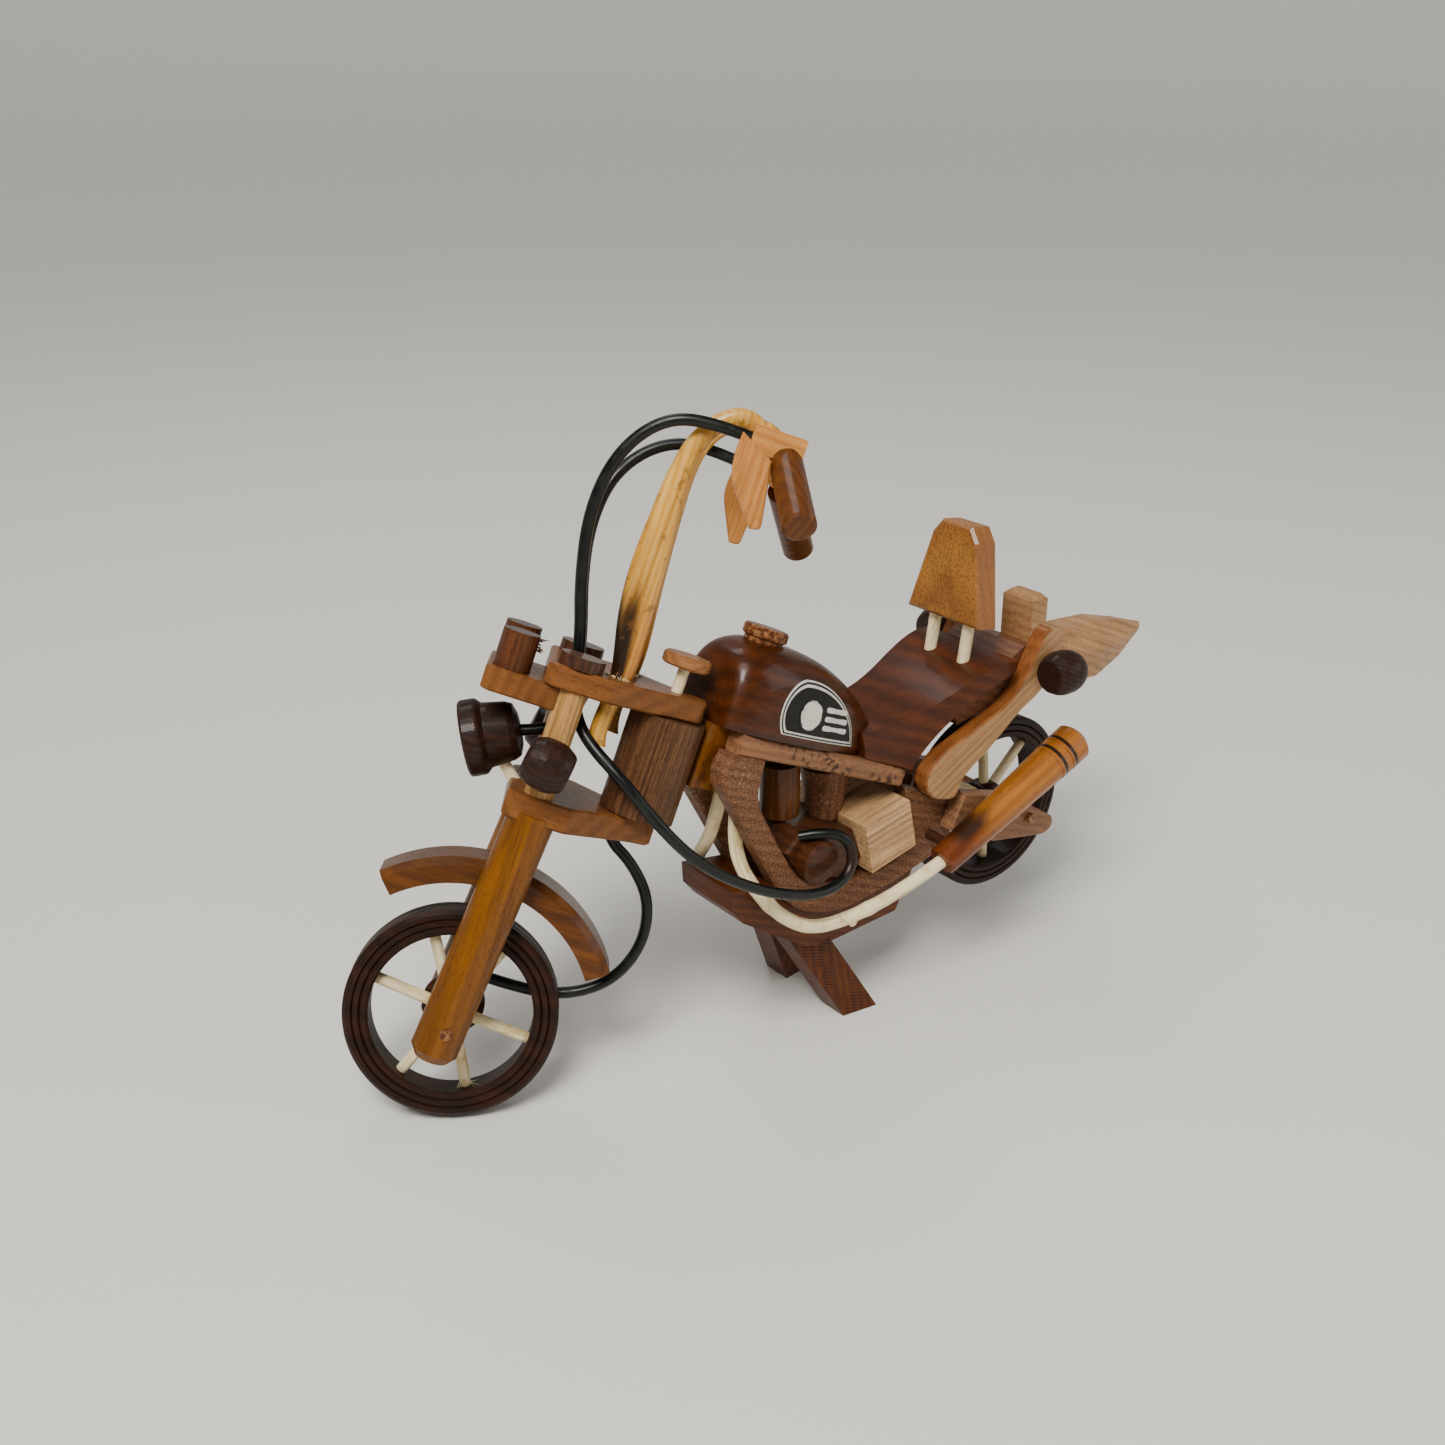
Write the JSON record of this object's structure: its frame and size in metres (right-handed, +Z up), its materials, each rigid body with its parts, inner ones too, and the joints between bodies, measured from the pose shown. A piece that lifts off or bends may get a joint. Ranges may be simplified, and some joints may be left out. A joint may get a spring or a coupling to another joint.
{
  "type": "toy motorcycle",
  "caption": "Handmade varnished wooden chopper motorcycle desk model on a splayed centre stand, with rattan spokes and bars, black vinyl cables, steering fork and free-turning wheels",
  "frame": {"origin": "On the table, under the middle of the model's bounding box at rest.", "axes": "+Z up. The rider's forward is -X and the rider's left is -Y, so the tail points to +X."},
  "size_m": [0.265, 0.0758, 0.1731],
  "materials": {
    "side_board": "satin varnished brown board, pale saw fuzz in the grain",
    "amber_wood": "amber varnished hardwood",
    "grained_wood": "coarse open grain, thin varnish",
    "dark_gloss_wood": "deep red-brown, high gloss varnish",
    "engine_wood": "dark brown, thin varnish",
    "red_gloss_wood": "orange-brown, high gloss varnish",
    "pale_wood": "pale straw-brown, varnished",
    "brown_wood": "mid brown, varnished, end grain on top",
    "grip_wood": "red-brown, varnished",
    "burnt_wood": "scorched nearly black, glossy",
    "hub_wood": "turned amber wood",
    "rattan": "peeled rattan, varnished",
    "black_vinyl": "glossy black vinyl cord",
    "printed_label": "white sticker printed in black"
  },
  "bodies": {
    "frame": {"side_plate_left": "side_board", "side_plate_right": "side_board", "upper_rails": "side_board", "tail_board": "side_board", "frame_nose": "amber_wood", "mufflers": "amber_wood", "stand_base": "amber_wood", "stand_legs": "amber_wood", "front_cylinder": "amber_wood", "backrest": "amber_wood", "head_block": "grained_wood", "air_box": "grained_wood", "oil_tank": "grained_wood", "tank": "dark_gloss_wood", "seat": "dark_gloss_wood", "crankcase": "engine_wood", "rear_cylinder": "engine_wood", "clutch_cover": "engine_wood", "struts": "pale_wood", "tail_block": "pale_wood", "tail_tip": "pale_wood", "swing_arms": "pale_wood", "tank_cap": "brown_wood", "rear_signals": "burnt_wood", "exhaust_pipes": "rattan", "backrest_pegs": "rattan", "frame_pegs": "rattan", "rear_axle": "rattan", "clutch_cable": "black_vinyl", "tank_decals": "printed_label"},
    "fork": {"upper_yoke": "brown_wood", "lower_yoke": "brown_wood", "gauge_plate": "brown_wood", "gauges": "brown_wood", "fork_caps": "brown_wood", "steering_knob": "brown_wood", "steering_pin": "rattan", "stanchions": "brown_wood", "fork_legs": "amber_wood", "front_mudguard": "red_gloss_wood", "headlamp": "burnt_wood", "fork_pegs": "rattan", "front_signals": "burnt_wood", "handlebar_left": "rattan", "handlebar_right": "rattan", "brackets": "pale_wood", "levers": "pale_wood", "grips": "grip_wood", "control_cable_left": "black_vinyl", "control_cable_right": "black_vinyl", "brake_cable": "black_vinyl", "lamp_wire": "black_vinyl", "front_axle": "rattan"},
    "front_wheel": {"front_rim": "burnt_wood", "front_spokes": "rattan", "front_hub": "hub_wood", "brake_disc": "burnt_wood"},
    "rear_wheel": {"rear_rim": "burnt_wood", "rear_spokes": "rattan", "rear_hub": "hub_wood"}
  },
  "joints": [
    {"name": "steering", "type": "hinge", "parent": "frame", "child": "fork", "pos_m": [-0.06104, -0.00244, 0.0744], "axis": [0.4067, 0, 0.9135], "range_deg": [-5, 75], "deforming": ["clutch_cable"]},
    {"name": "front_wheel_spin", "type": "hinge", "parent": "fork", "child": "front_wheel", "pos_m": [-0.10754, 0.01384, 0.02712], "axis": [0.524, 0.8192, -0.2333], "continuous": true},
    {"name": "rear_wheel_spin", "type": "hinge", "parent": "frame", "child": "rear_wheel", "pos_m": [0.06666, -0.00244, 0.0414], "axis": [0, 1, 0], "continuous": true}
  ]
}
